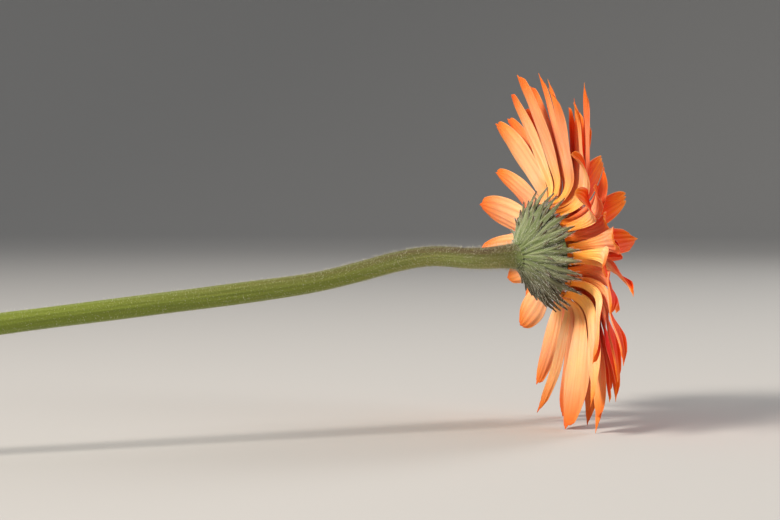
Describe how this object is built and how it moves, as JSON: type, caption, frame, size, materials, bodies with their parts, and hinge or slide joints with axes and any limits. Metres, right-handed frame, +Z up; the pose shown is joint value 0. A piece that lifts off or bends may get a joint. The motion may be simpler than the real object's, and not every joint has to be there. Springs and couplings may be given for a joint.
{
  "type": "cut gerbera flower",
  "caption": "Cut gerbera lying on its side: a long green stem, a hairy green cup of bracts and a head of narrow peach-orange rays round a small disc.",
  "frame": {"origin": "middle of the outer box in X and Y, on the table the flower lies on", "axes": "X along the stem, +X the way the flower faces; +Z up from the table; Y across"},
  "size_m": [0.5128, 0.104, 0.1079],
  "materials": {
    "rays": "satin, peach outside and orange-red inside",
    "bracts": "matt, hairy grey-green",
    "receptacle": "matt grey-green",
    "disc": "matt tuft with pale tips",
    "stem": "satin green with fine hairs"
  },
  "bodies": {
    "root": {"ray_o01": "rays", "ray_o02": "rays", "ray_o03": "rays", "ray_o04": "rays", "ray_o05": "rays", "ray_o06": "rays", "ray_o07": "rays", "ray_o08": "rays", "ray_o09": "rays", "ray_o10": "rays", "ray_o11": "rays", "ray_o12": "rays", "ray_o13": "rays", "ray_o14": "rays", "ray_m01": "rays", "ray_m02": "rays", "ray_m03": "rays", "ray_m04": "rays", "ray_m05": "rays", "ray_m06": "rays", "ray_m07": "rays", "ray_m08": "rays", "ray_m09": "rays", "ray_m10": "rays", "ray_m11": "rays", "ray_m12": "rays", "ray_m13": "rays", "ray_m14": "rays", "ray_m15": "rays", "ray_i01": "rays", "ray_i02": "rays", "ray_i03": "rays", "ray_i04": "rays", "ray_i05": "rays", "ray_i06": "rays", "ray_i07": "rays", "ray_i08": "rays", "ray_i09": "rays", "ray_i10": "rays", "ray_i11": "rays", "ray_i12": "rays", "bract_lower_1": "bracts", "bract_lower_2": "bracts", "bract_lower_3": "bracts", "bract_lower_4": "bracts", "bract_lower_5": "bracts", "bract_lower_6": "bracts", "bract_lower_7": "bracts", "bract_lower_8": "bracts", "bract_upper_1": "bracts", "bract_upper_2": "bracts", "bract_upper_3": "bracts", "bract_upper_4": "bracts", "bract_upper_5": "bracts", "bract_upper_6": "bracts", "bract_upper_7": "bracts", "bract_upper_8": "bracts", "receptacle": "receptacle", "disc_florets": "disc", "stem": "stem"}
  },
  "joints": []
}
